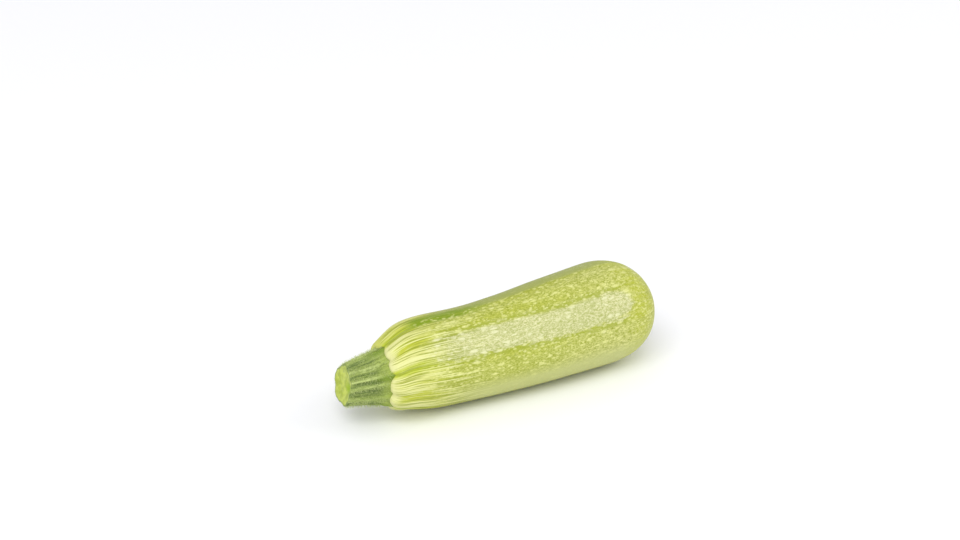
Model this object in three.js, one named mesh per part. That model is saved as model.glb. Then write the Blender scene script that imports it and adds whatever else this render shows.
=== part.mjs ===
// A pale green courgette as picked, lying on its side: one solid for the fruit, one for the cut stub of stem it hung
// by. Millimetres, +Z up, +X from the stem towards the blossom end, -Y the side that it shows. The origin is under
// the middle of the whole courgette, on the surface that it lies on.
//
// Both solids are rings round one gently bent spine. A place on them is (along, turn, radius): along is the distance
// from the plane where the stem joins the fruit, negative on the stem, and turn is the angle from the top, growing
// towards -Y.
import * as THREE from "three";

// The fruit's outline
const FRUIT_LENGTH = 141;
const NECK_RADIUS = 22.3;
const BELLY_RADIUS = 25.1;
const BELLY_FROM = 30; // the neck widens into the belly between these two places
const BELLY_TO = 116;
const SHOULDER_LENGTH = 28; // from a lobe's tip to the full neck
const DOME_LENGTH = 28.5; // the round blossom end
const DOME_FULLNESS = 2.2; // 2 is a plain ellipse, more is blunter
const BEND = 4.8; // how far the middle stands out sideways from the ends
const FLAT_DEPTH = 0.4; // how much the underside is flattened where it rests

// Five broad ribs, and a lesser furrow down the middle of each. Every rib starts at a furrow: `from` is its turn in
// degrees, `foot` the place along where the furrow meets the stem, and `tip` how far the rib's lobes reach over the
// stem. The stem's corners run on into the furrows.
const RIBS = [
  { from: 3, foot: 0.6, tip: -0.7 },
  { from: 64, foot: 1.1, tip: -1.4 },
  { from: 143, foot: 2.6, tip: 0.4 },
  { from: 213, foot: 1.4, tip: -1.4 },
  { from: 276, foot: 1.2, tip: -2.3 },
];
const FURROW_DEPTH = 2.6;
const FURROW_NICK = 0.9; // a narrower crease at the bottom of each furrow
const MIDRIB_DEPTH = 0.8;
const NICK_WIDTH = 0.09; // of a rib's width
const FURROW_RUN = 15; // the furrows fade over this length behind the shoulder
const FURROW_REST = 0.16; // the share of their depth that stays along the whole fruit

// Where fruit and stem meet
const LOBE_NOTCH = 1.3; // how far the lesser furrow sets back the lobes' edge
const LIP_STEP = 0.8; // how far a lobe's tip stands proud of the stem
const SOCKET_FLOOR = 5;
const GAP = 0.3; // between the two solids

// The stem
const STEM_LENGTH = 19.7;
const STEM_END_RADIUS = 9.8; // at its corners, where it was cut
const STEM_FOOT_RADIUS = 14.4; // at its corners, where it joins the fruit
const STEM_FLARE = 1.25;
const STEM_HOLLOW = 0.13; // how much less the radius is between two corners
const STEM_CUT_FLARE = 0.5; // the stem widens a little at the cut
const STEM_RIDGE = 0.35; // lesser ridges between the corners
const JOINT_DROP = 1.8; // the stem leaves the fruit lower than the fruit's own middle
const JOINT_SIDE = 1; // and nearer the side that it shows
const JOINT_RUN = 7; // over this length the fruit's middle comes back
const NECK_LEAN = new THREE.Vector3(-2.2, -3.8, 2.3); // the whole neck leans over by this much at the joint
const NECK_RUN = 18; // and comes back over this length
const STEM_DROOP = 0.06; // slope of the stem's own line, down towards the cut
const CUT_LEAN_TOP = 0.17; // the cut slants: its top lies nearer the fruit than its bottom
const CUT_LEAN_SIDE = 0.08; // and the side that it shows nearer than the far side
const CUT_HOLLOW = 0.9; // how far the middle of the cut face lies below its edge
const CUT_EDGE = 0.35; // the rim of the cut is rounded over this length

// The scar where the flower dropped off
const SCAR_RADIUS = 7;
const SCAR_RIM = 0.45; // height of its corky rim
const SCAR_SINK = 0.5; // depth of the disc inside it
const SCAR_NUB = 1.3; // radius of the little point in the middle

// How finely the solids are divided
const STEPS_PER_RIB = 18;
const SHOULDER_ROWS = 9;
const BODY_ROWS = 12;
const DOME_ROWS = 10;
const STEM_ROWS = 8;

const { clamp, lerp, smoothstep, degToRad } = THREE.MathUtils;
const DOME_FROM = FRUIT_LENGTH - DOME_LENGTH;

// Turns round the courgette, so that every furrow falls on one. Each knows its share of the way across its rib, and
// where the edge of the fruit's skin lies against the stem there.
function turnsRound() {
  const turns = [];
  RIBS.forEach(({ from, foot, tip }, rib) => {
    const next = RIBS[(rib + 1) % RIBS.length];
    const to = next.from > from ? next.from : next.from + 360;
    for (let step = 0; step < STEPS_PER_RIB; step += 1) {
      const across = step / STEPS_PER_RIB;
      const nearFoot = across < 0.5 ? foot : next.foot;
      const lip = lerp(tip, nearFoot, furrowness(across) ** 2) + LOBE_NOTCH * crease(across, 0.5);
      turns.push({ angle: degToRad(lerp(from, to, across)), across, lip });
    }
  });
  return turns;
}

// 1 in a furrow and 0 at the middle of a rib, along a round rib's own curve.
const furrowness = (across) => (2 * across - 1) ** 2;

// A narrow crease at the share `at` of a rib's width.
const crease = (across, at) => Math.exp(-(((across - at) / NICK_WIDTH) ** 2));
const edgeCrease = (across) => crease(across, 0) + crease(across, 1);

const furrowFade = (along) => FURROW_REST + (1 - FURROW_REST) * Math.exp(-Math.max(along, 0) / FURROW_RUN);

// The radius without ribs or rounded ends.
const plainRadius = (along) => lerp(NECK_RADIUS, BELLY_RADIUS, smoothstep(along, BELLY_FROM, BELLY_TO));

// The ribs fade out towards the blossom.
const ribDepth = (along, across) => {
  const shape =
    FURROW_DEPTH * furrowness(across) + FURROW_NICK * edgeCrease(across) + MIDRIB_DEPTH * crease(across, 0.5);
  return shape * furrowFade(along) * (1 - smoothstep(along, DOME_FROM, FRUIT_LENGTH));
};

// A quarter of a rounded outline, from 0 at the start to 1 at share 1.
const quarterRound = (share, fullness) => (1 - (1 - clamp(share, 0, 1)) ** fullness) ** (1 / fullness);

// The stem's radius. Its corners stand at the furrows' turns.
function stemRadius(along, across) {
  const share = (along + STEM_LENGTH) / STEM_LENGTH;
  const corner = lerp(STEM_END_RADIUS, STEM_FOOT_RADIUS, Math.max(share, 0) ** STEM_FLARE);
  const hollow = 1 - STEM_HOLLOW * Math.sin(Math.PI * across);
  const flare = STEM_CUT_FLARE * Math.exp(-Math.max(share, 0) * 8);
  const ridges = STEM_RIDGE * Math.cos(6 * Math.PI * across);
  return corner * hollow + flare + ridges;
}

function skinRadius(along, { across, lip }) {
  const edge = stemRadius(lip, across) + GAP + LIP_STEP * (1 - furrowness(across));
  const full = plainRadius(along) - ribDepth(along, across);
  return lerp(edge, full, quarterRound((along - lip) / SHOULDER_LENGTH, 2));
}

// The spine: bent sideways, and lifted as the belly widens, so that the underside is straight.
function spinePoint(along) {
  const u = (2 * along) / FRUIT_LENGTH - 1;
  const aside = Math.exp(-((along / JOINT_RUN) ** 2));
  const y = BEND * (u * u - 1) - JOINT_SIDE * aside;
  const point = new THREE.Vector3(along, y, plainRadius(along) - FLAT_DEPTH - JOINT_DROP * aside);
  return point.addScaledVector(NECK_LEAN, Math.exp(-((along / NECK_RUN) ** 2)));
}

// The rings stand upright, and turn with the bend. The stem runs straight on from the fruit, drooping a little.
function place(along, angle, radius) {
  const inFruit = Math.max(along, 0);
  const inStem = Math.min(along, 0);
  const slope = ((4 * BEND) / FRUIT_LENGTH) * ((2 * inFruit) / FRUIT_LENGTH - 1);
  const forward = new THREE.Vector3(1, slope, 0).normalize();
  const side = new THREE.Vector3(forward.y, -forward.x, 0);
  const point = spinePoint(inFruit).addScaledVector(forward, inStem);
  point.addScaledVector(side, radius * Math.sin(angle));
  point.z += STEM_DROOP * inStem + radius * Math.cos(angle);
  return point;
}

// A closed body from rings of points that run from one end to the other, each end closed by a point in its middle.
function closedBody(firstPoint, rings, lastPoint) {
  const around = rings[0].length;
  const points = [firstPoint, ...rings.flat(), lastPoint];
  const faces = [];
  const index = (row, step) => 1 + row * around + (step % around);
  for (let step = 0; step < around; step += 1) {
    faces.push(0, index(0, step + 1), index(0, step));
    faces.push(points.length - 1, index(rings.length - 1, step), index(rings.length - 1, step + 1));
  }
  for (let row = 0; row + 1 < rings.length; row += 1) {
    for (let step = 0; step < around; step += 1) {
      const [a, b] = [index(row, step), index(row, step + 1)];
      const [c, d] = [index(row + 1, step), index(row + 1, step + 1)];
      faces.push(a, b, d, a, d, c);
    }
  }
  const body = new THREE.BufferGeometry();
  body.setAttribute("position", new THREE.Float32BufferAttribute(points.flatMap((p) => p.toArray()), 3));
  body.setIndex(faces);
  body.computeVertexNormals();
  return body;
}

const ringOf = (turns, pointAt) => turns.map((turn) => pointAt(turn));

// The fruit, from the floor of the hollow that the stem fills, out over the lobes, to the scar at the far end.
function fruitBody(turns) {
  const rings = [];
  const skinRing = (alongAt) =>
    ringOf(turns, (turn) => {
      const along = alongAt(turn);
      return place(along, turn.angle, skinRadius(along, turn) * domeScale(along));
    });
  for (const share of [0, 0.6]) {
    rings.push(
      ringOf(turns, (turn) => {
        const along = lerp(SOCKET_FLOOR, turn.lip, share);
        const reach = Math.min(along, SOCKET_FLOOR - GAP);
        return place(along, turn.angle, stemRadius(reach, turn.across) + GAP);
      }),
    );
  }
  for (let row = 0; row < SHOULDER_ROWS; row += 1) {
    const share = 1 - Math.cos((row / SHOULDER_ROWS) * (Math.PI / 2));
    rings.push(skinRing(({ lip }) => lip + share * SHOULDER_LENGTH));
  }
  for (let row = 0; row < BODY_ROWS; row += 1) {
    rings.push(skinRing(({ lip }) => lerp(lip + SHOULDER_LENGTH, DOME_FROM, row / BODY_ROWS)));
  }
  const scarShare = domeShareAt(SCAR_RADIUS);
  for (let row = 0; row < DOME_ROWS; row += 1) {
    rings.push(skinRing(() => domeAlong((scarShare * row) / (DOME_ROWS - 1))));
  }
  const scarPlane = domeAlong(scarShare);
  const scarRing = (radius, out) => ringOf(turns, ({ angle }) => place(scarPlane + out, angle, radius));
  rings.push(scarRing(SCAR_RADIUS - 0.5, SCAR_RIM));
  rings.push(scarRing(SCAR_RADIUS - 1.1, -SCAR_SINK));
  rings.push(scarRing(SCAR_NUB, -SCAR_SINK / 2));
  return closedBody(place(SOCKET_FLOOR, 0, 0), rings, place(scarPlane + SCAR_RIM, 0, 0));
}

// The round end is divided by equal steps of an angle: share 0 is where it starts, and share 1 its tip.
const domeAlong = (share) => DOME_FROM + DOME_LENGTH * Math.sin((share * Math.PI) / 2) ** (2 / DOME_FULLNESS);
const domeScale = (along) => quarterRound((FRUIT_LENGTH - along) / DOME_LENGTH, DOME_FULLNESS);

function domeShareAt(radius) {
  let [low, high] = [0, 1];
  for (let step = 0; step < 40; step += 1) {
    const middle = (low + high) / 2;
    const along = domeAlong(middle);
    if (plainRadius(along) * domeScale(along) > radius) low = middle;
    else high = middle;
  }
  return low;
}

// The stem, from its cut end to the flat foot inside the fruit.
function stemBody(turns) {
  const end = ({ across }) => stemRadius(-STEM_LENGTH, across);
  const cutAlong = (angle, radius) =>
    radius * (CUT_LEAN_TOP * Math.cos(angle) + CUT_LEAN_SIDE * Math.sin(angle)) - STEM_LENGTH;
  const cutRing = (share, sink) =>
    ringOf(turns, (turn) => {
      const radius = end(turn) * share;
      return place(cutAlong(turn.angle, radius) + sink, turn.angle, radius);
    });
  const footPlane = SOCKET_FLOOR - GAP;
  const rings = [cutRing(0.55, CUT_HOLLOW * 0.7), cutRing(0.93, 0), cutRing(1, CUT_EDGE)];
  for (let row = 1; row <= STEM_ROWS; row += 1) {
    rings.push(
      ringOf(turns, (turn) => {
        const start = cutAlong(turn.angle, end(turn)) + CUT_EDGE;
        const along = lerp(start, 0, row / STEM_ROWS);
        return place(along, turn.angle, stemRadius(along, turn.across));
      }),
    );
  }
  rings.push(ringOf(turns, ({ angle, across }) => place(footPlane, angle, stemRadius(footPlane, across))));
  return closedBody(place(CUT_HOLLOW - STEM_LENGTH, 0, 0), rings, place(footPlane, 0, 0));
}

// The underside is flattened where the weight lies on it.
function flattenUnderside(body) {
  const position = body.getAttribute("position");
  for (let i = 0; i < position.count; i += 1) position.setZ(i, Math.max(position.getZ(i), 0));
  body.computeVertexNormals();
  return body;
}

const turns = turnsRound();
const fruit = new THREE.Mesh(
  flattenUnderside(fruitBody(turns)),
  new THREE.MeshStandardMaterial({ color: 0xc6ca6e, roughness: 0.42, metalness: 0 }),
);
fruit.name = "courgette_fruit";
const stem = new THREE.Mesh(
  stemBody(turns),
  new THREE.MeshStandardMaterial({ color: 0x8ea055, roughness: 0.7, metalness: 0 }),
);
stem.name = "courgette_stem";

const courgette = new THREE.Group();
courgette.add(fruit, stem);
const extent = new THREE.Box3().setFromObject(courgette);
const middle = extent.getCenter(new THREE.Vector3());
courgette.position.set(-middle.x, -middle.y, -extent.min.z);

export default courgette;
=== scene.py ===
"""A pale green courgette lying on its side, as picked: the speckled fruit with its corky blossom scar, and
the stub of stem with its ridges, cut face and bristles. Sizes are in millimetres until a mesh is made, then
in metres."""

from math import cos, pi, radians, sin

import bpy
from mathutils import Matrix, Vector


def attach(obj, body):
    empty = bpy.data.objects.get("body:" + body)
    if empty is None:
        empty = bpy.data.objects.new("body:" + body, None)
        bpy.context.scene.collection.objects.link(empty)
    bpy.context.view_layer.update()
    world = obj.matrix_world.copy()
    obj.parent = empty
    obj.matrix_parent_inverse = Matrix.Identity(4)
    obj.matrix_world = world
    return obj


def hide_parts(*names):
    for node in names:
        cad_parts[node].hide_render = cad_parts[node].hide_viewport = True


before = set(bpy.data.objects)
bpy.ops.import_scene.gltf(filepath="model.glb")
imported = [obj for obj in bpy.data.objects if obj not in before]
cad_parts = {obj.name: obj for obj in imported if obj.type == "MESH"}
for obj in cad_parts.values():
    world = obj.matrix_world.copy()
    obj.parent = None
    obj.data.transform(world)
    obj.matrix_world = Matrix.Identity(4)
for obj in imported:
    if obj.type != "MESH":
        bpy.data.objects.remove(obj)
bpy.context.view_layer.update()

MM = 0.001
# More than rounding, and less than the step from one ring to the next
JUST_OVER = 0.0001

# Where the middle of the joint between stem and fruit stands in the frame, in millimetres
JOINT_AT = (-59.0725, 3.5082)

FRUIT_SIZES = {
    "Fruit length": 141,
    "Neck radius": 22.3,
    "Belly radius": 25.1,
    "Belly from": 30,
    "Belly to": 116,
    "Shoulder length": 28,
    "Dome length": 28.5,
    "Dome fullness": 2.2,
    "Bend": 4.8,
    "Flat depth": 0.4,
    "Furrow depth": 2.6,
    "Furrow nick": 0.9,
    "Midrib depth": 0.8,
    "Nick width": 0.09,
    "Furrow run": 15,
    "Furrow rest": 0.16,
    "Lobe notch": 1.3,
    "Lip step": 0.8,
    "Socket floor": 5,
    "Gap": 0.12,
    "Joint drop": 1.8,
    "Joint side": 1,
    "Joint run": 7,
    "Neck lean back": 2.2,
    "Neck lean side": 3.8,
    "Neck lean up": 2.3,
    "Neck run": 18,
    "Scar radius": 7,
    "Scar along": 140.2,
    "Scar rim": 0.55,
    "Scar sink": 0.55,
    "Scar point": 0.8,
    "Scar cracks": 1.5,
    "Swell": 1.1,
    "Pleats": 0.75,
}
STEM_SIZES = {
    "Stem length": 19.7,
    "Stem end radius": 9.8,
    "Stem foot radius": 14.4,
    "Stem flare": 1.25,
    "Stem hollow": 0.13,
    "Stem cut flare": 0.5,
    "Stem ridge": 0.35,
    "Stem droop": 0.06,
    "Cut lean top": 0.17,
    "Cut lean side": 0.08,
    "Cut hollow": 0.9,
    "Cut unevenness": 0.9,
    "Pit depth": 1.1,
    "Crests": 1.5,
    "Fibres": 2.2,
    "Bumps": 0.6,
}
BRISTLE_SIZES = {"Bristles per square mm": 3.8, "Longest": 1.7, "Thickness": 0.22}

# How finely the surfaces are divided: rings from end to end, and steps round each of the five ribs
FRUIT_RINGS, FRUIT_STEPS = 330, 56
STEM_RINGS, STEM_STEPS = 170, 64

# Each rib: the turn in degrees where its first furrow lies, and the places along of that furrow's foot and of
# the rib's own tip
RIBS = [(3, 0.6, -0.7), (64, 1.1, -1.4), (143, 2.6, 0.4), (213, 1.4, -1.4), (276, 1.2, -2.3)]
FURROWS = [furrow for furrow, foot, tip in RIBS]

# The pale bands, from turn to turn in degrees
PALE_BANDS = [(33, 65), (178, 210), (244, 272)]
# How strongly the skin is of one kind, 0 to 1, by turn in degrees: smooth and without speckles, lightest
# olive, yellow at the lobes, cream at the lobes' tips, and strongly green beside the upper furrow, there
# darkened with painted shade
SMOOTH_SIDES = [(-60, 0), (-48, 1), (-6, 1), (-2, 0), (96, 0), (112, 1), (146, 1), (156, 0)]
LIGHT_SIDES = [(68, 0), (80, 1), (100, 1), (116, 0)]
YELLOW_LOBES = [(-90, 0), (-60, 1), (-6, 1), (14, 0)]
CREAM_TIPS = [(0, 1), (58, 1), (72, 0.6), (150, 0.6), (170, 1)]
GREEN_AND_SHADED_SIDE = [(-16, 0), (-9, 1), (1, 1), (7, 0)]
# Darker lines, by turn in degrees: along the edges of the front pale band, and along that of a smooth side
BAND_EDGES = [30, 68]
SIDE_EDGE = -2
# The stem's ridges: how high its skin stands, 0 to 1, by turn in degrees
STEM_CRESTS = [
    (-30, 0.9), (-15, 0.5), (-2, 1), (15, 0.1), (30, 1), (47, 0), (60, 1), (68, 0), (79, 0.9), (95, 0),
    (120, 0.85), (138, 0.1), (155, 0.9), (172, 0), (190, 0.7), (208, 0.1), (226, 1), (244, 0), (262, 0.8),
    (280, 0.1), (297, 0.9), (314, 0),
]

# Colours by their screen values, 0 to 255
SKIN_TONES = {
    "olive": (184, 190, 74),
    "light olive": (203, 207, 108),
    "lightest side": (200, 204, 120),
    "paling olive": (220, 218, 150),
    "olive mottle": (144, 154, 40),
    "cream": (210, 210, 158),
    "light cream": (217, 215, 163),
    "cream mottle": (166, 173, 98),
    "lower smooth side": (194, 198, 128),
    # painted shade: the upper smooth side is painted darker than the lower one
    "shaded upper smooth side": (157, 165, 86),
    "dark edge": (154, 164, 48),
    "lobe green": (190, 197, 62),
    "lobe yellow": (216, 220, 112),
    "lobe crest": (219, 219, 142),
    "lobe tip": (229, 228, 166),
    "yellow lobe": (196, 202, 56),
    "midrib": (182, 189, 44),
    "furrow": (180, 194, 40),
    "dark thread": (146, 156, 44),
    "pale thread": (228, 229, 160),
    # painted shade in the furrows' creases
    "crease": (132, 146, 30),
    # the upper furrow's own green, darkened with painted shade of its trough
    "green and shaded side": (122, 148, 8),
    "round end": (184, 191, 40),
    "round the scar": (222, 222, 160),
    "speckle": (230, 231, 152),
    "cream speckle": (232, 232, 188),
    # painted highlight on the round end's shoulder
    "painted_highlight": (208, 208, 172),
}
STEM_TONES = {
    # painted shade in the stem's grooves
    "groove": (90, 111, 40),
    "side": (143, 161, 74),
    "ridge": (190, 205, 124),
    "pale fleck": (200, 212, 146),
    "dark fleck": (88, 110, 40),
    "near fruit": (172, 190, 78),
    # painted shade along the stem's grooves by the fruit
    "shade in grooves near fruit": (112, 138, 14),
}
CUT_TONES = {
    "flesh": (158, 174, 46),
    "pale flesh": (190, 203, 80),
    "dark grain": (140, 162, 48),
    "pit": (142, 172, 10),
    "rind": (116, 136, 50),
}
CORK_TONES = {
    "disc": (192, 186, 128),
    "patch": (168, 152, 96),
    "rim": (132, 116, 72),
    "skin": (214, 214, 148),
    "crack": (98, 80, 48),
    "point": (120, 98, 60),
}
BRISTLE_TONES = {"bristle": (178, 196, 110), "pale bristle": (218, 227, 162)}


# Arithmetic in a node tree


class Num:
    """A number that a node tree works out, written as ordinary arithmetic."""

    def __init__(self, tree, socket):
        self.tree, self.socket = tree, socket

    def math(self, operation, *values, clamp=False):
        node = self.tree.nodes.new("ShaderNodeMath")
        node.operation, node.use_clamp = operation, clamp
        for slot, value in zip(node.inputs, values):
            feed(self.tree, slot, value)
        return Num(self.tree, node.outputs[0])

    def __add__(self, other):
        return self.math("ADD", self, other)

    def __sub__(self, other):
        return self.math("SUBTRACT", self, other)

    def __mul__(self, other):
        return self.math("MULTIPLY", self, other)

    def __truediv__(self, other):
        return self.math("DIVIDE", self, other)

    def __radd__(self, other):
        return self.math("ADD", other, self)

    def __rsub__(self, other):
        return self.math("SUBTRACT", other, self)

    def __rmul__(self, other):
        return self.math("MULTIPLY", other, self)

    def __rtruediv__(self, other):
        return self.math("DIVIDE", other, self)

    def __pow__(self, other):
        return self.math("POWER", self, other)

    def __neg__(self):
        return self.math("MULTIPLY", self, -1)


def feed(tree, slot, value):
    if isinstance(value, Num):
        tree.links.new(value.socket, slot)
    elif isinstance(value, bpy.types.NodeSocket):
        tree.links.new(value, slot)
    else:
        slot.default_value = value


def add_node(tree, kind, settings=None, **inputs):
    """A node with its settings and inputs, each input named as its socket, in small letters."""
    node = tree.nodes.new(kind)
    for name, value in (settings or {}).items():
        setattr(node, name, value)
    slots = {}
    for slot in node.inputs:
        slots.setdefault(slot.name.lower().replace(" ", "_"), slot)
    for name, value in inputs.items():
        feed(tree, slots[name], value)
    return node


def exp(x):
    return x.math("EXPONENT", x)


def sine(x):
    return x.math("SINE", x)


def cosine(x):
    return x.math("COSINE", x)


def at_least(x, low):
    return x.math("MAXIMUM", x, low)


def at_most(x, high):
    return x.math("MINIMUM", x, high)


def above(x, limit):
    """1 where x is above the limit and 0 elsewhere."""
    return x.math("GREATER_THAN", x, limit)


def share_of(x, low, high):
    """How far x is from low to high, held between 0 and 1."""
    return x.math("DIVIDE", x - low, high - low, clamp=True)


def smooth(x, low, high):
    """Rises from 0 at low to 1 at high, gently at both ends."""
    node = add_node(
        x.tree, "ShaderNodeMapRange", {"interpolation_type": "SMOOTHSTEP"}, value=x, from_min=low,
        from_max=high,
    )
    return Num(x.tree, node.outputs[0])


def fading(x, low, high):
    """Falls from 1 at low to 0 at high."""
    return 1 - smooth(x, low, high)


def mix(a, b, share):
    return a + (b - a) * share


def vector(tree, x, y, z):
    return add_node(tree, "ShaderNodeCombineXYZ", x=x, y=y, z=z).outputs[0]


def parts_of(tree, socket):
    node = add_node(tree, "ShaderNodeSeparateXYZ", vector=socket)
    return [Num(tree, slot) for slot in node.outputs]


def stretched(tree, place, x, y, z):
    """A vector stretched along its three axes: larger numbers make a pattern on it finer."""
    node = tree.nodes.new("ShaderNodeVectorMath")
    node.operation = "MULTIPLY"
    feed(tree, node.inputs[0], place)
    node.inputs[1].default_value = (x, y, z)
    return node.outputs[0]


def noise(tree, place, scale=1.0, detail=2.0, roughness=0.5, distortion=0.0):
    node = add_node(
        tree, "ShaderNodeTexNoise", vector=place, scale=scale, detail=detail, roughness=roughness,
        distortion=distortion,
    )
    return Num(tree, node.outputs[0])


# The courgette's own shape, in nodes


def quarter_round(share, fullness):
    """A quarter of a rounded outline, from 0 at the start to 1 at share 1."""
    return (1 - (1 - share) ** fullness) ** (1 / fullness)


def furrowness(across):
    return (2 * across - 1) * (2 * across - 1)


def crease(size, across, at):
    off = (across - at) / size["Nick width"]
    return exp(-(off * off))


def even_ridges(size, across):
    """The solid's own ridges, alike on all five sides."""
    return size["Stem ridge"] * cosine(across * (6 * pi))


def stem_radius(size, along, across):
    share = at_least((along + size["Stem length"]) / size["Stem length"], 0)
    corner = mix(size["Stem end radius"], size["Stem foot radius"], share ** size["Stem flare"])
    hollow = 1 - size["Stem hollow"] * sine(across * pi)
    flare = size["Stem cut flare"] * exp(share * -8)
    return corner * hollow + flare + even_ridges(size, across)


def plain_radius(size, along):
    return mix(size["Neck radius"], size["Belly radius"], smooth(along, size["Belly from"], size["Belly to"]))


def rib_depth(size, along, across):
    shape = (
        size["Furrow depth"] * furrowness(across)
        + size["Furrow nick"] * (crease(size, across, 0) + crease(size, across, 1))
        + size["Midrib depth"] * crease(size, across, 0.5)
    )
    fade = mix(size["Furrow rest"], 1, exp(at_least(along, 0) / size["Furrow run"] * -1))
    end = size["Fruit length"] - size["Dome length"]
    return shape * fade * fading(along, end, size["Fruit length"])


def dome_scale(size, along):
    left = share_of(size["Fruit length"] - along, 0, size["Dome length"])
    return quarter_round(left, size["Dome fullness"])


def placed(size, along, turn, radius):
    """The point at a place along, a turn from the top and a distance from the spine, in metres."""
    tree = along.tree
    in_fruit, in_stem = at_least(along, 0), at_most(along, 0)
    u = 2 * in_fruit / size["Fruit length"] - 1
    slope = 4 * size["Bend"] / size["Fruit length"] * u
    reach = (slope * slope + 1) ** -0.5
    near_joint = in_fruit / size["Joint run"]
    aside = exp(-(near_joint * near_joint))
    near_neck = in_fruit / size["Neck run"]
    leaning = exp(-(near_neck * near_neck))
    sideways = radius * sine(turn)
    x = in_fruit + reach * in_stem + slope * reach * sideways - size["Neck lean back"] * leaning
    y = size["Bend"] * (u * u - 1) - size["Joint side"] * aside + slope * reach * in_stem
    y = y - reach * sideways - size["Neck lean side"] * leaning
    rise = plain_radius(size, in_fruit) - size["Flat depth"] - size["Joint drop"] * aside
    z = rise + size["Neck lean up"] * leaning + size["Stem droop"] * in_stem + radius * cosine(turn)
    return vector(tree, (x + JOINT_AT[0]) * MM, (y + JOINT_AT[1]) * MM, at_least(z, 0) * MM)


def widths_of_ribs():
    """How many degrees each rib spans."""
    return [(FURROWS[(i + 1) % len(FURROWS)] - furrow) % 360 for i, furrow in enumerate(FURROWS)]


class Recipe:
    """A geometry node tree with named inputs for its sizes, on which a surface of rings is shaped."""

    def __init__(self, name, sizes):
        self.tree = tree = bpy.data.node_groups.new(name, "GeometryNodeTree")
        self.sizes = sizes
        tree.interface.new_socket("Mesh", in_out="INPUT", socket_type="NodeSocketGeometry")
        for size in sizes:
            tree.interface.new_socket(size, in_out="INPUT", socket_type="NodeSocketFloat")
        tree.interface.new_socket("Mesh", in_out="OUTPUT", socket_type="NodeSocketGeometry")
        self.given = tree.nodes.new("NodeGroupInput")
        self.size = {size: Num(tree, self.given.outputs[size]) for size in sizes}

    def rings(self, rings, around):
        """A tube of rings closed at both ends, with each point's share of the way along and around it."""
        tree = self.tree
        tube = add_node(
            tree, "GeometryNodeMeshCylinder", {"fill_type": "TRIANGLE_FAN"}, vertices=around,
            side_segments=rings, radius=1.0, depth=1.0,
        )
        x, y, z = parts_of(tree, tree.nodes.new("GeometryNodeInputPosition").outputs[0])
        spread = at_most((x * x + y * y) ** 0.5, 1)
        turn = x.math("ARCTAN2", y, x) / (2 * pi)
        return tube.outputs[0], z + 0.5, turn.math("FRACT", turn + 1), spread

    def ribs(self, round_share):
        """A point's turn, its share of the way across its rib, and where along the skin starts there."""
        tree = self.tree
        fifth = round_share * len(RIBS)
        index = fifth.math("MODULO", fifth.math("FLOOR", fifth + JUST_OVER), len(RIBS))
        across = at_least(fifth - index, 0)

        def of_rib(values):
            node = tree.nodes.new("GeometryNodeIndexSwitch")
            node.data_type = "FLOAT"
            while len(node.index_switch_items) < len(RIBS):
                node.index_switch_items.new()
            feed(tree, node.inputs[0], index)
            for slot, value in zip(node.inputs[1:], values):
                slot.default_value = value
            return Num(tree, node.outputs[0])

        turn = (of_rib(FURROWS) + of_rib(widths_of_ribs()) * across) * (pi / 180)
        second_half = above(across, 0.5)
        feet = [foot for furrow, foot, tip in RIBS]
        foot = mix(of_rib(feet), of_rib(feet[1:] + feet[:1]), second_half)
        share = furrowness(across)
        lip = mix(of_rib([tip for furrow, foot, tip in RIBS]), foot, share * share)
        return turn, across, lip + self.size["Lobe notch"] * crease(self.size, across, 0.5)

    def moved(self, mesh, position):
        return add_node(self.tree, "GeometryNodeSetPosition", geometry=mesh, position=position).outputs[0]

    def noted(self, mesh, name, value, kind="FLOAT"):
        """Keeps a value on the mesh for its material to read."""
        node = self.tree.nodes.new("GeometryNodeStoreNamedAttribute")
        node.data_type, node.domain = kind, "POINT"
        feed(self.tree, node.inputs["Geometry"], mesh)
        node.inputs["Name"].default_value = name
        feed(self.tree, next(slot for slot in node.inputs if slot.name == "Value" and slot.enabled), value)
        return node.outputs[0]

    def kept(self, name):
        node = add_node(self.tree, "GeometryNodeInputNamedAttribute", {"data_type": "FLOAT"})
        node.inputs["Name"].default_value = name
        return Num(self.tree, node.outputs[0])

    def finished(self, mesh, material, part=None, part_material=None):
        """Ends the recipe: real faces, all of one material but for a part that a kept value marks."""
        tree = self.tree
        whole = add_node(tree, "GeometryNodeRealizeInstances", geometry=mesh).outputs[0]
        whole = add_node(tree, "GeometryNodeSetMaterial", geometry=whole, material=material).outputs[0]
        if part:
            node = add_node(tree, "GeometryNodeSetMaterial", geometry=whole, material=part_material)
            feed(tree, node.inputs["Selection"], above(self.kept(part), 0.5))
            whole = node.outputs[0]
        tree.links.new(whole, tree.nodes.new("NodeGroupOutput").inputs["Mesh"])

    def made(self, name, start=None):
        """Runs the recipe and gives its result as a plain mesh object."""
        worker = bpy.data.objects.new(name + "_recipe", start or bpy.data.meshes.new(name + "_start"))
        bpy.context.collection.objects.link(worker)
        modifier = worker.modifiers.new("recipe", "NODES")
        modifier.node_group = self.tree
        for socket in self.tree.interface.items_tree:
            if socket.in_out == "INPUT" and socket.name in self.sizes:
                modifier[socket.identifier] = float(self.sizes[socket.name])
        graph = bpy.context.evaluated_depsgraph_get()
        mesh = bpy.data.meshes.new_from_object(
            worker.evaluated_get(graph), preserve_all_data_layers=True, depsgraph=graph
        )
        bpy.data.objects.remove(worker)
        mesh.name = name
        mesh.shade_smooth()
        piece = bpy.data.objects.new(name, mesh)
        bpy.context.collection.objects.link(piece)
        return piece


def uneven(recipe, ring, along, fine_round, fine_along, **settings):
    """Noise from -0.5 to 0.5 round the courgette without a seam, finer with larger numbers."""
    place = vector(recipe.tree, ring[0] * fine_round, ring[1] * fine_round, along * fine_along)
    return noise(recipe.tree, place, **settings) - 0.5


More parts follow.
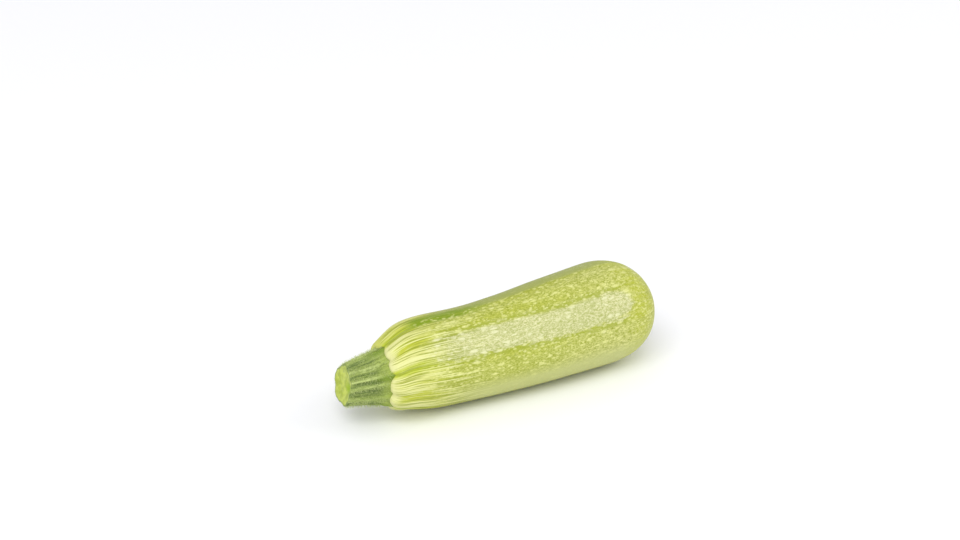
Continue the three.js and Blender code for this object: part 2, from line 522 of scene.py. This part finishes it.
def skin_form(recipe, ring, across, lip, along):
    """The skin's distance from the spine, from its lip round the stem to the scar."""
    size = recipe.size
    from_lip = along - lip
    swell = uneven(recipe, ring, along, 1.3, 0.028, detail=1.0)
    pleats = uneven(recipe, ring, along, 6.5, 0.05)
    pleated = exp(at_least(from_lip, 0) / -13) * share_of(from_lip, 0, 3)

    edge = stem_radius(size, lip, across) + size["Gap"] + size["Lip step"] * (1 - furrowness(across))
    full = plain_radius(size, along) - rib_depth(size, along, across)
    full = full + swell * size["Swell"] * share_of(along, 8, 40)
    shoulder = quarter_round(share_of(from_lip, 0, size["Shoulder length"]), 2)
    radius = mix(edge, full, shoulder) * dome_scale(size, along)
    return radius + pleats * size["Pleats"] * pleated


def scar_form(recipe, ring, over_scar):
    """The scar's radius and relief: a cracked rim round a sunken disc, with a point in the middle."""
    tree, size = recipe.tree, recipe.size
    rim_at, disc_from, disc_to = 6.2, 4.6, 6.0
    radius = size["Scar radius"] * (1 - over_scar)
    on_scar = vector(tree, ring[0] * radius, ring[1] * radius, 0.0)
    cracks = noise(tree, on_scar, scale=0.9, detail=5.0, roughness=0.7) - 0.5
    rim = exp((radius - rim_at) * (radius - rim_at) * -2.2)
    disc = fading(radius, disc_from, disc_to)
    point = exp(radius * radius * -0.5)
    relief = rim * size["Scar rim"] - disc * size["Scar sink"] + point * size["Scar point"]
    return radius, relief + cracks * size["Scar cracks"] * share_of(over_scar, 0, 0.12)


def way_over(size, along, over_scar):
    """How far a point lies along the skin itself, which bends in over the round end and the scar."""
    dome_from = size["Fruit length"] - size["Dome length"]
    over_dome = share_of(along, dome_from, size["Fruit length"])
    arc = at_most(along, dome_from) + size["Belly radius"] * over_dome.math("ARCSINE", over_dome)
    return arc + over_scar * size["Scar radius"]


def grow_fruit(skin, cork):
    """The fruit's whole surface: hollow for the stem, lobed shoulder, ribbed body, round end and scar."""
    recipe = Recipe("courgette fruit", {**FRUIT_SIZES, **STEM_SIZES})
    tree, size = recipe.tree, recipe.size
    mesh, share, round_share, spread = recipe.rings(rings=FRUIT_RINGS, around=len(RIBS) * FRUIT_STEPS)
    turn, across, lip = recipe.ribs(round_share)
    ring = cosine(turn), sine(turn)

    # The rings' shares of the way: over the hollow's wall, then over the skin, then over the scar
    wall_to, skin_from, scar_from = 0.012, 0.015, 0.94
    over_scar = share_of(share, scar_from, 1)
    over_skin = share_of(share, skin_from, scar_from)
    skin_along = mix(lip, size["Scar along"], 0.5 - 0.5 * cosine(over_skin * pi))
    skin_radius = skin_form(recipe, ring, across, lip, skin_along)
    foot = size["Socket floor"] - size["Gap"]
    wall_along = mix(size["Socket floor"], lip, share_of(share, 0, wall_to))
    wall_radius = stem_radius(size, at_most(wall_along, foot), across) + size["Gap"]
    scar_radius, relief = scar_form(recipe, ring, over_scar)

    is_skin = above(share, wall_to + JUST_OVER)
    is_scar = above(over_scar, JUST_OVER)
    along = mix(mix(wall_along, skin_along, is_skin), size["Scar along"] + relief, is_scar)
    radius = mix(mix(wall_radius, skin_radius, is_skin), scar_radius, is_scar) * spread

    even_radius, off_scar = 24, 20
    way = way_over(size, skin_along, over_scar)
    skin_place = vector(tree, way, ring[0] * even_radius, ring[1] * even_radius)
    mesh = recipe.noted(mesh, "scar", is_scar)
    mesh = recipe.noted(mesh, "from_lip", skin_along - lip)
    mesh = recipe.noted(mesh, "scar_radius", mix(off_scar, scar_radius, is_scar))
    mesh = recipe.noted(mesh, "skin_place", skin_place, kind="FLOAT_VECTOR")
    mesh = recipe.moved(mesh, placed(size, along, turn, radius))
    recipe.finished(mesh, skin, "scar", cork)
    return recipe.made("courgette_skin")


def stem_relief(recipe, ring, turn, along, rough):
    """Crests with wider hollows between them, no two alike, and fibres that stand out as the skin dries."""
    tree, size = recipe.tree, recipe.size
    waver = uneven(recipe, ring, along, 1.7, 0.05, detail=1.0)
    crest_turn = (turn + waver * 0.3) / (2 * pi) + 1
    crest = ramp(tree, crest_turn.math("FRACT", crest_turn), closed_round(STEM_CRESTS), True) ** 1.7
    fibres = uneven(recipe, ring, along, 6, 0.05, detail=3.0, roughness=0.62)
    bumps = uneven(recipe, ring, along, 9, 0.45)
    return (crest - 0.35) * size["Crests"] + (fibres * size["Fibres"] + bumps * size["Bumps"]) * rough


def stem_form(size, across, along, from_cut, relief, rough):
    """The side's distance from the spine: rounded over at the cut, plain where the fruit hides it."""
    in_sight = fading(along, -6, -2)
    added = (relief * mix(0.5, 0.8, rough) - even_ridges(size, across) - 0.1) * in_sight
    rounding = 1 - share_of(from_cut, 0, 0.9)
    return stem_radius(size, along, across) + added - rounding * rounding * 0.4


def cut_form(recipe, turn, radius, x, y):
    """How deep the cut face is sunk: a bowl with a ring of raised bundles and one pit."""
    size = recipe.size
    bundles_at, pit_at, pit_half = 6.2, (0.4, 5.0), (2.7, 3.0)
    grain = noise(recipe.tree, vector(recipe.tree, x, y, 0.0), scale=0.3, detail=3.0) - 0.5
    five_times = cosine((turn - 0.3) * 5) * 0.5 + 0.5
    bundles = exp((radius - bundles_at) * (radius - bundles_at) * -0.7) * five_times
    pit_x, pit_y = (x - pit_at[0]) / pit_half[0], (y - pit_at[1]) / pit_half[1]
    pit = exp(-(pit_x * pit_x + pit_y * pit_y))
    bowl = fading(radius, 3.5, 9.5) * size["Cut hollow"]
    return bowl + grain * size["Cut unevenness"] - bundles * 0.2 + pit * size["Pit depth"], pit


def grow_stem(side, cut):
    """The stub of stem: the fibrous cut face, the ridged sides and the foot inside the fruit."""
    recipe = Recipe("courgette stem", {**FRUIT_SIZES, **STEM_SIZES})
    tree, size = recipe.tree, recipe.size
    mesh, share, round_share, spread = recipe.rings(rings=STEM_RINGS, around=len(RIBS) * STEM_STEPS)
    turn, across, _ = recipe.ribs(round_share)
    ring = cosine(turn), sine(turn)

    # The rings' share of the way over the cut face, before they go down the sides
    face_to = 0.3
    over_face = share_of(share, 0, face_to)
    over_side = share_of(share, face_to, 1)
    end = -size["Stem length"]
    end_radius = stem_radius(size, end, across)
    lean = size["Cut lean top"] * ring[0] + size["Cut lean side"] * ring[1]
    start = end + end_radius * lean
    side_along = mix(start, size["Socket floor"] - size["Gap"], over_side)
    from_cut = side_along - start
    rough = smooth(from_cut, 0, 4)
    relief = stem_relief(recipe, ring, turn, side_along, rough)
    side_radius = stem_form(size, across, side_along, from_cut, relief, rough)

    rim_radius = end_radius + relief * 0.5 - even_ridges(size, across) - 0.5
    face_radius = rim_radius * (0.02 + over_face * 0.98)
    face_x, face_y = ring[0] * face_radius, ring[1] * face_radius
    sink, pit = cut_form(recipe, turn, face_radius, face_x, face_y)
    face_along = end + face_radius * lean + (sink - 0.1) * (1 - over_face ** 8)

    is_side = above(over_side, JUST_OVER)
    along = mix(face_along, side_along, is_side)
    radius = mix(face_radius, side_radius, is_side) * spread

    even_radius = 12
    stem_place = vector(tree, side_along, ring[0] * even_radius, ring[1] * even_radius)
    cut_place = vector(tree, face_x * spread, face_y * spread, over_face)
    hairy = (smooth(relief, -0.1, 0.6) * 0.8 + 0.2) * fading(side_along, -2, 1)
    mesh = recipe.noted(mesh, "ridge", relief)
    mesh = recipe.noted(mesh, "cut", 1 - is_side)
    mesh = recipe.noted(mesh, "hairy", is_side * hairy * share_of(from_cut, 0, 1.2))
    mesh = recipe.noted(mesh, "stem_place", stem_place, kind="FLOAT_VECTOR")
    mesh = recipe.noted(mesh, "cut_place", cut_place, kind="FLOAT_VECTOR")
    mesh = recipe.noted(mesh, "pit_depth", pit)
    mesh = recipe.moved(mesh, placed(size, along, turn, radius))
    recipe.finished(mesh, side, "cut", cut)
    return recipe.made("courgette_stem_skin")


def random_value(tree, kind, low, high, seed):
    node = tree.nodes.new("FunctionNodeRandomValue")
    node.data_type = kind
    slots = [slot for slot in node.inputs if slot.enabled]
    slots[0].default_value, slots[1].default_value = low, high
    node.inputs["Seed"].default_value = seed
    return next(slot for slot in node.outputs if slot.enabled)


def grow_bristles(stem, bristle):
    """Short stiff hairs that stand out of the stem's sides."""
    recipe = Recipe("stem bristles", BRISTLE_SIZES)
    tree, size = recipe.tree, recipe.size
    scatter = add_node(
        tree, "GeometryNodeDistributePointsOnFaces", mesh=recipe.given.outputs["Mesh"],
        density=size["Bristles per square mm"] * MM ** -2 * recipe.kept("hairy"), seed=7,
    )
    hair = add_node(
        tree, "GeometryNodeMeshCone", {"fill_type": "TRIANGLE_FAN"}, vertices=4, side_segments=1,
        fill_segments=1, radius_top=size["Thickness"] * (0.1 * MM),
        radius_bottom=size["Thickness"] * (0.5 * MM),
        depth=size["Longest"] * MM,
    )
    tilt = 0.6
    leaning = random_value(tree, "FLOAT_VECTOR", (-tilt, -tilt, -pi), (tilt, tilt, pi), seed=3)
    lean = add_node(
        tree, "FunctionNodeRotateRotation", {"rotation_space": "LOCAL"}, rotation=scatter.outputs["Rotation"]
    )
    feed(tree, lean.inputs[1], leaning)
    standing = add_node(
        tree, "GeometryNodeInstanceOnPoints", points=scatter.outputs["Points"], instance=hair.outputs["Mesh"],
        rotation=lean.outputs[0], scale=random_value(tree, "FLOAT", 0.4, 1.0, seed=5),
    )
    recipe.finished(standing.outputs[0], bristle)
    return recipe.made("courgette_stem_bristles", start=stem.data.copy())


# Finishes


def srgb(red, green, blue):
    """A colour named by its screen values, 0 to 255."""
    def linear(value):
        value /= 255
        return value / 12.92 if value <= 0.04045 else ((value + 0.055) / 1.055) ** 2.4

    return (linear(red), linear(green), linear(blue), 1)


def ramp(tree, share, stops, smooth_steps=False):
    """Looks a number up between stops, each a place and its value."""
    node = add_node(tree, "ShaderNodeValToRGB", fac=share)
    node.color_ramp.interpolation = "EASE" if smooth_steps else "LINEAR"
    elements = node.color_ramp.elements
    while len(elements) < len(stops):
        elements.new(1)
    for element, (place, value) in zip(elements, stops):
        element.position = place
        element.color = (value, value, value, 1)
    return Num(tree, node.outputs[0])


def blended(tree, share, under, over):
    node = add_node(tree, "ShaderNodeMix", {"data_type": "RGBA"})
    under_slot, over_slot = 6, 7
    for slot, value in ((0, share), (under_slot, under), (over_slot, over)):
        feed(tree, node.inputs[slot], value)
    return node.outputs[2]


def turn_in_degrees(up, side):
    return up.math("ARCTAN2", side, up) * (180 / pi)


def share_of_turn(degrees):
    return degrees.math("FRACT", degrees / 360 + 1)


def closed_round(stops):
    """Stops by degrees made stops by share of a turn, with the same value at 0 and at 1."""
    turns = sorted((degrees % 360 / 360, value) for degrees, value in stops)
    (last, last_value), (first, first_value) = turns[-1], turns[0]
    seam = last_value + (first_value - last_value) * (1 - last) / (1 - last + first)
    return [(0, seam), *turns, (1, seam)]


def peaks(turns, width):
    """1 at each turn and 0 away from it."""
    return [stop for turn in turns for stop in ((turn - width, 0), (turn, 1), (turn + width, 0))]


def band_stops():
    """0 in the middle of a pale band, 0.5 at its edge and 1 between bands, by degrees of turn."""
    stops = []
    for i, (low, high) in enumerate(PALE_BANDS):
        gap = (PALE_BANDS[(i + 1) % len(PALE_BANDS)][0] - high) % 360
        stops += [(low, 0.5), ((low + high) / 2, 0), (high, 0.5), (high + gap / 2, 1)]
    return stops


def middles_of_ribs():
    return [furrow + width / 2 for furrow, width in zip(FURROWS, widths_of_ribs())]


def new_group(name, numbers_in, vector_in):
    """A shader node group with named inputs that gives a mask, built once and placed with its own values."""
    group = bpy.data.node_groups.new(name, "ShaderNodeTree")
    group.interface.new_socket(vector_in, in_out="INPUT", socket_type="NodeSocketVector")
    for number, value in numbers_in.items():
        socket = group.interface.new_socket(number, in_out="INPUT", socket_type="NodeSocketFloat")
        socket.default_value = value
    group.interface.new_socket("Mask", in_out="OUTPUT", socket_type="NodeSocketFloat")
    given, result = group.nodes.new("NodeGroupInput"), group.nodes.new("NodeGroupOutput")
    inputs = {socket.name: Num(group, socket) for socket in given.outputs if socket.name}
    return group, inputs, result.inputs["Mask"]


def place_group(tree, group, **inputs):
    node = tree.nodes.new("ShaderNodeGroup")
    node.node_tree = group
    for name, value in inputs.items():
        feed(tree, node.inputs[name.capitalize()], value)
    return Num(tree, node.outputs["Mask"])


def speckle_group():
    """Rounded dashes scattered over the skin, some in every few cells, each of its own size."""
    numbers = {"Length": 3.0, "Width": 1.4, "Share": 0.5, "Edge": 0.25}
    group, given, mask = new_group("speckles", numbers, "Place")
    x, y, z = parts_of(group, given["Place"].socket)
    wobble = noise(group, given["Place"].socket, scale=0.9, detail=1.0) - 0.5
    cell = vector(
        group, (x + wobble * 0.8) / given["Length"], (y + wobble * 0.5) / given["Width"],
        (z - wobble * 0.5) / given["Width"],
    )
    dots = add_node(group, "ShaderNodeTexVoronoi", {"feature": "F1"}, vector=cell, scale=1.0, randomness=1.0)
    own, other, _ = parts_of(group, dots.outputs["Color"])
    size = 0.18 + other * 0.3
    distance = Num(group, dots.outputs["Distance"])
    shape = fading(distance, size * (1 - given["Edge"]), size * (1 + given["Edge"]))
    feed(group, mask, shape * own.math("LESS_THAN", own, given["Share"]))
    return group


class Finish:
    """A material on which tones are painted one over another, each with its strength from 0 to 1."""

    def __init__(self, name, tones, place_name=None):
        self.material = bpy.data.materials.new(name)
        self.material.use_nodes = True
        self.tree = self.material.node_tree
        self.shader = self.tree.nodes["Principled BSDF"]
        self.tones = tones
        if place_name:
            self.place = self.attribute(place_name, "Vector")
        else:
            self.place = add_node(self.tree, "ShaderNodeTexCoord").outputs["Object"]

    def attribute(self, name, output):
        return add_node(self.tree, "ShaderNodeAttribute", {"attribute_name": name}).outputs[output]

    def number(self, name):
        """A number that the recipe noted on the mesh."""
        return Num(self.tree, self.attribute(name, "Fac"))

    def pattern(self, fine, **settings):
        """Noise over the surface, finer along an axis with a larger number."""
        return noise(self.tree, stretched(self.tree, self.place, *fine), **settings)

    def by_turn(self, share, stops):
        return ramp(self.tree, share, closed_round(stops))

    def tone(self, name):
        return srgb(*self.tones[name])

    def between(self, share, under, over):
        return blended(self.tree, share, self.tone(under), self.tone(over))

    def paint(self, strength, name):
        self.base = blended(self.tree, strength, self.base, self.tone(name))

    def finished(self, roughness, bump_height=None, strength=0.0, distance=0.0):
        """Joins the colours, the roughness and the fine relief to the shader; the distance is in metres."""
        feed(self.tree, self.shader.inputs["Base Color"], self.base)
        feed(self.tree, self.shader.inputs["Roughness"], roughness)
        if bump_height:
            bump = add_node(
                self.tree, "ShaderNodeBump", strength=strength, distance=distance, height=bump_height
            )
            feed(self.tree, self.shader.inputs["Normal"], bump.outputs[0])
        return self.material


class FruitSkin(Finish):
    """Waxy skin: olive and pale bands, finely mottled and speckled, streaked green and cream at the stem."""

    def __init__(self):
        super().__init__("courgette_skin", SKIN_TONES, "skin_place")
        self.along, self.up, side = parts_of(self.tree, self.place)
        self.from_lip = self.number("from_lip")
        self.degrees = turn_in_degrees(self.up, side)
        self.streaks = self.pattern((0.03, 0.7, 0.7), detail=3.0, roughness=0.6)
        self.threads = self.pattern((0.05, 1.3, 1.3), detail=2.0, roughness=0.6)
        grain = self.pattern((0.9, 1.5, 1.5), detail=3.0, roughness=0.6)
        self.grain = smooth(grain, 0.37, 0.63)
        self.find_turns()
        self.find_bands()
        self.find_ribs()
        self.find_net()

    def find_turns(self):
        """Shares of a turn: one for bands that run down and waver, and one that stays with the ribs."""
        sway = self.pattern((0.05, 0.11, 0.11), detail=2.0) - 0.5
        self.fray = self.pattern((0.22, 0.6, 0.6), detail=3.0, roughness=0.6) - 0.5
        further_down = smooth(self.along, 42, 92) * 6
        self.banded = share_of_turn(self.degrees - further_down + sway * 6 + self.fray * 12)
        self.steady = share_of_turn(self.degrees + self.fray * 4)

    def find_bands(self):
        """1 in the pale bands, which close in an arc at either end."""
        from_middle = self.by_turn(self.banded, band_stops()) * 2
        to_start = at_least(24 - self.along, 0) / 17
        to_end = at_least(self.along - 106, 0) / 12
        reach = (from_middle * from_middle + to_start * to_start + to_end * to_end) ** 0.5
        self.pale = fading(reach + self.fray * 0.5, 0.82, 1.18)

    def find_ribs(self):
        """1 in the furrows, on the midribs and on the smooth sides."""
        self.furrow = smooth(self.by_turn(self.steady, peaks(FURROWS, 11)), 0.15, 0.8)
        self.midrib = smooth(self.by_turn(self.steady, peaks(middles_of_ribs(), 13)), 0.1, 0.75)
        self.smooth_side = self.by_turn(self.steady, SMOOTH_SIDES)

    def find_net(self):
        """A net of wavy lines, finer than the speckles."""
        net = self.pattern((0.5, 1.0, 1.0), detail=2.0, roughness=0.55, distortion=0.5)
        self.net = fading(net.math("ABSOLUTE", net - 0.5), 0.012, 0.075)

    def lay_ground(self):
        """Olive and cream, each drifting in tone and mottled with the net and the grain."""
        drift = smooth(self.pattern((0.03, 0.13, 0.13), detail=2.0), 0.3, 0.7)
        dark = self.net * 0.6 + (1 - self.grain) * 0.55
        cream = self.between(drift, "cream", "light cream")
        cream = blended(self.tree, dark * 0.95, cream, self.tone("cream mottle"))
        self.base = self.between(drift, "olive", "light olive")
        self.paint(self.by_turn(self.banded, LIGHT_SIDES) * 0.6, "lightest side")
        self.paint(smooth(self.along, 62, 112) * 0.48, "paling olive")
        self.paint(dark * 0.9, "olive mottle")
        self.base = blended(self.tree, self.pale, self.base, cream)

    def lay_sides(self):
        """Smooth sides, darker on top with painted shade, and darker lines along edges."""
        # the smooth sides are painted darker where they face up: painted shade
        even = self.between(smooth(self.up, -8, 8), "lower smooth side", "shaded upper smooth side")
        strength = self.smooth_side * smooth(self.along, 14, 40) * 0.85
        self.base = blended(self.tree, strength, self.base, even)
        band_edges = smooth(self.by_turn(self.banded, peaks(BAND_EDGES, 4)), 0.1, 0.8)
        side_edge = smooth(self.by_turn(self.steady, peaks([SIDE_EDGE], 3.5)), 0.1, 0.9)
        edges = at_least(band_edges, side_edge * 0.7)
        self.paint(edges * smooth(self.along, 14, 30) * fading(self.along, 112, 130) * 0.7, "dark edge")

    def lay_lobes(self):
        """Cream at the lobes' tips and back along each lobe's crest, yellow and green between the crests."""
        from_lip, furrow, midrib = self.from_lip, self.furrow, self.midrib
        near = fading(from_lip + (self.streaks - 0.5) * 26, 8, 32)
        ground = self.between(smooth(self.streaks, 0.34, 0.62), "lobe green", "lobe yellow")
        self.base = blended(self.tree, near * 0.8, self.base, ground)
        crest = (1 - furrow) * (1 - midrib * smooth(from_lip, 1.5, 5))
        self.paint(fading(from_lip, 8, 27) * crest * smooth(self.streaks, 0.24, 0.5) * 0.9, "lobe crest")
        creamy = self.by_turn(self.banded, CREAM_TIPS)
        self.paint(fading(from_lip, 0.3, 4) * (1 - furrow * 0.9) * creamy * 0.78, "lobe tip")
        self.paint(self.by_turn(self.banded, YELLOW_LOBES) * near * 0.7, "yellow lobe")
        self.paint(midrib * smooth(from_lip, 1, 5) * fading(from_lip, 9, 22) * 0.7, "midrib")
        self.paint(furrow * smooth(from_lip, -1, 1) * fading(from_lip, 10, 24) * 0.85, "furrow")

    def lay_threads(self):
        """Fine dark and pale threads from the lobes, painted shade in the furrows' creases, and the green
        beside one, darkened with painted shade.
        """
        from_lip, furrow = self.from_lip, self.furrow
        dark = fading(self.threads, 0.38, 0.49) * fading(from_lip, 20, 50) * smooth(from_lip, 0.2, 2)
        self.paint(dark * 0.85, "dark thread")
        pale = smooth(self.threads, 0.52, 0.6) * fading(from_lip, 22, 52) * smooth(from_lip, 0.6, 3)
        self.paint(pale * (1 - furrow * 0.6) * 0.75, "pale thread")
        # painted shade: darker lines down the furrows' creases near the lobes
        crease_shade = smooth(self.by_turn(self.steady, peaks(FURROWS, 4)), 0.2, 0.9)
        self.paint(crease_shade * fading(from_lip, 8, 22) * 0.6, "crease")
        # the upper furrow's own strong green, darkened with painted shade of its trough
        green = self.by_turn(self.steady, GREEN_AND_SHADED_SIDE) * smooth(self.along, 9, 17) * fading(self.along, 34, 58)
        self.paint(green * smooth(self.streaks, 0.22, 0.5) * 0.95, "green and shaded side")

    def lay_round_end(self):
        """Yellow-green with streaks that run to the scar, and paler round it."""
        end = smooth(self.along, 110, 124) * (1 - self.pale)
        streaked = 0.3 + 0.4 * smooth(self.streaks, 0.4, 0.6)
        self.paint(end * streaked * (1 - self.grain * 0.5), "round end")
        self.paint(smooth(self.along, 138, 151) * 0.7, "round the scar")

    def lay_speckles(self, speckles):
        """Large speckles over small ones, few at the lobes and on the smooth sides."""
        calm = smooth(self.from_lip, 9, 22) * (1 - self.smooth_side * 0.85)
        self.large = place_group(
            self.tree, speckles, place=self.place, length=4.0, width=1.8, share=0.3, edge=0.45
        )
        shifted = add_node(self.tree, "ShaderNodeVectorMath", {"operation": "ADD"})
        feed(self.tree, shifted.inputs[0], self.place)
        shifted.inputs[1].default_value = (31, 17, 53)
        small = place_group(
            self.tree, speckles, place=shifted.outputs[0], length=2.0, width=1.25, share=0.66, edge=0.4
        )
        dot = self.between(self.pale, "speckle", "cream speckle")
        self.base = blended(self.tree, small * calm * (0.5 - self.pale * 0.15), self.base, dot)
        self.base = blended(self.tree, self.large * calm * 0.62, self.base, dot)
        self.raised_speckles = self.large * calm

    def lay_painted_highlight(self):
        """A painted highlight: a pale grey patch on the shoulder of the round end."""
        middle_along, half_along, middle_turn, half_turn = 133, 5.5, 7, 12
        x, y = (self.along - middle_along) / half_along, (self.degrees - middle_turn) / half_turn
        # painted highlight: a pale patch on the limb of the round end
        painted_highlight = fading(x * x + y * y + (self.grain - 0.5) * 0.6 + self.fray, 0.2, 1.1)
        self.paint(painted_highlight * 0.6, "painted_highlight")

    def finished_skin(self):
        self.shader.inputs["Specular IOR Level"].default_value = 0.22
        self.shader.inputs["Coat Weight"].default_value = 0.03
        self.shader.inputs["Coat Roughness"].default_value = 0.3
        height = self.grain * 0.35 - self.net * 0.3 + self.raised_speckles * 0.6
        height = height + self.threads * fading(self.from_lip, 14, 40) * 1.6
        roughness = 0.5 - self.large * 0.06 - self.grain * 0.06
        return self.finished(roughness, height, strength=0.6, distance=0.00015)


def fruit_skin(speckles):
    skin = FruitSkin()
    skin.lay_ground()
    skin.lay_sides()
    skin.lay_lobes()
    skin.lay_threads()
    skin.lay_round_end()
    skin.lay_speckles(speckles)
    skin.lay_painted_highlight()
    return skin.finished_skin()


def stem_side():
    """Dull green skin with paler, frosted ridges and grooves darkened with painted shade, yellower where it
    meets the fruit.
    """
    skin = Finish("stem_side", STEM_TONES, "stem_place")
    along, up, side = parts_of(skin.tree, skin.place)
    streaks = skin.pattern((0.1, 1.2, 1.2), detail=4.0, roughness=0.65)
    flecks = skin.pattern((1.6, 2.6, 2.6), detail=3.0, roughness=0.7)
    height = skin.number("ridge") * 0.75 + (streaks - 0.5) * 3.2
    # the grooves are painted darker than the sides: painted shade
    skin.base = skin.between(smooth(height, -0.75, 0.2), "groove", "side")
    skin.paint(smooth(height, 0.15, 0.8), "ridge")
    skin.paint(smooth(flecks, 0.52, 0.66) * 0.5, "pale fleck")
    skin.paint(fading(flecks, 0.36, 0.5) * 0.35, "dark fleck")
    skin.paint(smooth(along, -8, 0) * 0.6, "near fruit")
    # painted shade: dark green lines along the grooves in line with the fruit's furrows
    at_furrows = peaks([furrow + 2 for furrow in FURROWS], 11)
    groove = smooth(skin.by_turn(share_of_turn(turn_in_degrees(up, side)), at_furrows), 0.25, 0.8)
    skin.paint(groove * smooth(along, -11, -2) * 0.85, "shade in grooves near fruit")
    return skin.finished(0.6, streaks + flecks * 0.5, strength=0.8, distance=0.00035)


def cut_flesh():
    """The cut face: a thin green rind, moist yellow-green flesh and a greener pit."""
    flesh = Finish("stem_cut_flesh", CUT_TONES, "cut_place")
    _, _, out = parts_of(flesh.tree, flesh.place)
    fibres = flesh.pattern((0.3, 0.3, 0.0), detail=3.0, roughness=0.5)
    fine = flesh.pattern((2.2, 2.2, 0.0), detail=2.0)
    flesh.base = flesh.between(smooth(fibres, 0.36, 0.62), "flesh", "pale flesh")
    flesh.paint(smooth(fine, 0.5, 0.7) * 0.12, "dark grain")
    flesh.paint(smooth(flesh.number("pit_depth"), 0.1, 0.7) * 0.85, "pit")
    flesh.paint(smooth(out, 0.9, 0.99), "rind")
    return flesh.finished(0.34 + fine * 0.25, fine, strength=0.35, distance=0.0002)


def bristle_finish():
    hair = Finish("stem_bristle", BRISTLE_TONES)
    hair.base = hair.between(noise(hair.tree, hair.place, scale=600.0, detail=1.0), "bristle", "pale bristle")
    return hair.finished(0.5)


def scar_cork():
    """Dry cork: a brown cracked rim round a paler disc."""
    cork = Finish("blossom_scar_cork", CORK_TONES)
    cracks = noise(cork.tree, cork.place, scale=900.0, detail=4.0, roughness=0.7)
    patches = noise(cork.tree, cork.place, scale=260.0, detail=3.0, roughness=0.6)
    radius = cork.number("scar_radius") + (patches - 0.5) * 1.8
    cork.base = cork.between(smooth(patches, 0.35, 0.65), "disc", "patch")
    cork.paint(smooth(radius, 4.9, 5.9) * fading(radius, 6.3, 6.9) * 0.8, "rim")
    cork.paint(smooth(radius, 6.4, 6.95), "skin")
    cork.paint(smooth(cracks, 0.52, 0.64) * 0.7, "crack")
    cork.paint(fading(radius, 0.3, 1.5), "point")
    return cork.finished(0.85, cracks, strength=0.8, distance=0.0003)


# The studio


def lay_floor():
    half, just_below = 3.0, -2e-5
    corners = [(x, y, just_below) for x, y in ((-half, -half), (half, -half), (half, half), (-half, half))]
    mesh = bpy.data.meshes.new("pale_floor")
    mesh.from_pydata(corners, [], [(0, 1, 2, 3)])
    floor = bpy.data.objects.new("pale_floor", mesh)
    bpy.context.collection.objects.link(floor)
    material = bpy.data.materials.new("pale_floor")
    material.use_nodes = True
    shader = material.node_tree.nodes["Principled BSDF"]
    shader.inputs["Base Color"].default_value = (0.965, 0.968, 1.0, 1)
    shader.inputs["Roughness"].default_value = 0.6
    shader.inputs["Specular IOR Level"].default_value = 0.2
    mesh.materials.append(material)


def hang_light(name, place, width, height, watts):
    light = bpy.data.lights.new(name, "AREA")
    light.shape, light.size, light.size_y, light.energy = "RECTANGLE", width, height, watts
    lamp = bpy.data.objects.new(name, light)
    lamp.location = place
    aim = Vector((0, 0, 0.02))
    lamp.rotation_euler = (aim - Vector(place)).to_track_quat("-Z", "Y").to_euler()
    bpy.context.collection.objects.link(lamp)


def set_lights():
    world = bpy.data.worlds.new("studio")
    world.use_nodes = True
    world.node_tree.nodes["Background"].inputs["Color"].default_value = (1, 1, 1, 1)
    world.node_tree.nodes["Background"].inputs["Strength"].default_value = 0.66
    bpy.context.scene.world = world
    hang_light("front_softbox", (-1.75, -1.8, 3.0), width=3.0, height=2.2, watts=83)
    hang_light("low_softbox", (-1.3, -2.2, 0.7), width=1.6, height=0.8, watts=3.5)
    hang_light("right_softbox", (2.2, -1.2, 1.8), width=1.6, height=1.6, watts=15)


def set_camera():
    """The photo's own view: from the stem end, a little above, the courgette low in the frame."""
    azimuth, elevation, distance = radians(-29.6), radians(28), 1.0665
    back = Vector((sin(azimuth) * cos(elevation), -cos(azimuth) * cos(elevation), sin(elevation)))
    right = Vector((cos(azimuth), sin(azimuth), 0))
    up = back.cross(right)
    from_joint = (60.42, -3.472)  # to the middle of the courgette
    middle = Vector((JOINT_AT[0] + from_joint[0], JOINT_AT[1] + from_joint[1], 22)) * MM
    left_of_middle, above_middle = 10.2 * MM, 34.6 * MM
    aim = middle - right * left_of_middle + up * above_middle
    place = middle + back * distance
    camera = bpy.data.objects.new("camera", bpy.data.cameras.new("camera"))
    camera.data.lens, camera.data.sensor_width = 85, 36
    camera.location = place
    camera.rotation_euler = (aim - place).to_track_quat("-Z", "Y").to_euler()
    bpy.context.collection.objects.link(camera)
    bpy.context.scene.camera = camera
    bpy.context.scene.view_settings.view_transform = "Standard"


speckles = speckle_group()
fruit = grow_fruit(fruit_skin(speckles), scar_cork())
stem = grow_stem(stem_side(), cut_flesh())
bristles = grow_bristles(stem, bristle_finish())
for piece, slot in ((fruit, "courgette_skin"), (stem, "stem_skin"), (bristles, "stem_skin")):
    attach(piece, "root")
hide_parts("courgette_fruit")
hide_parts("courgette_stem")
lay_floor()
set_lights()
set_camera()
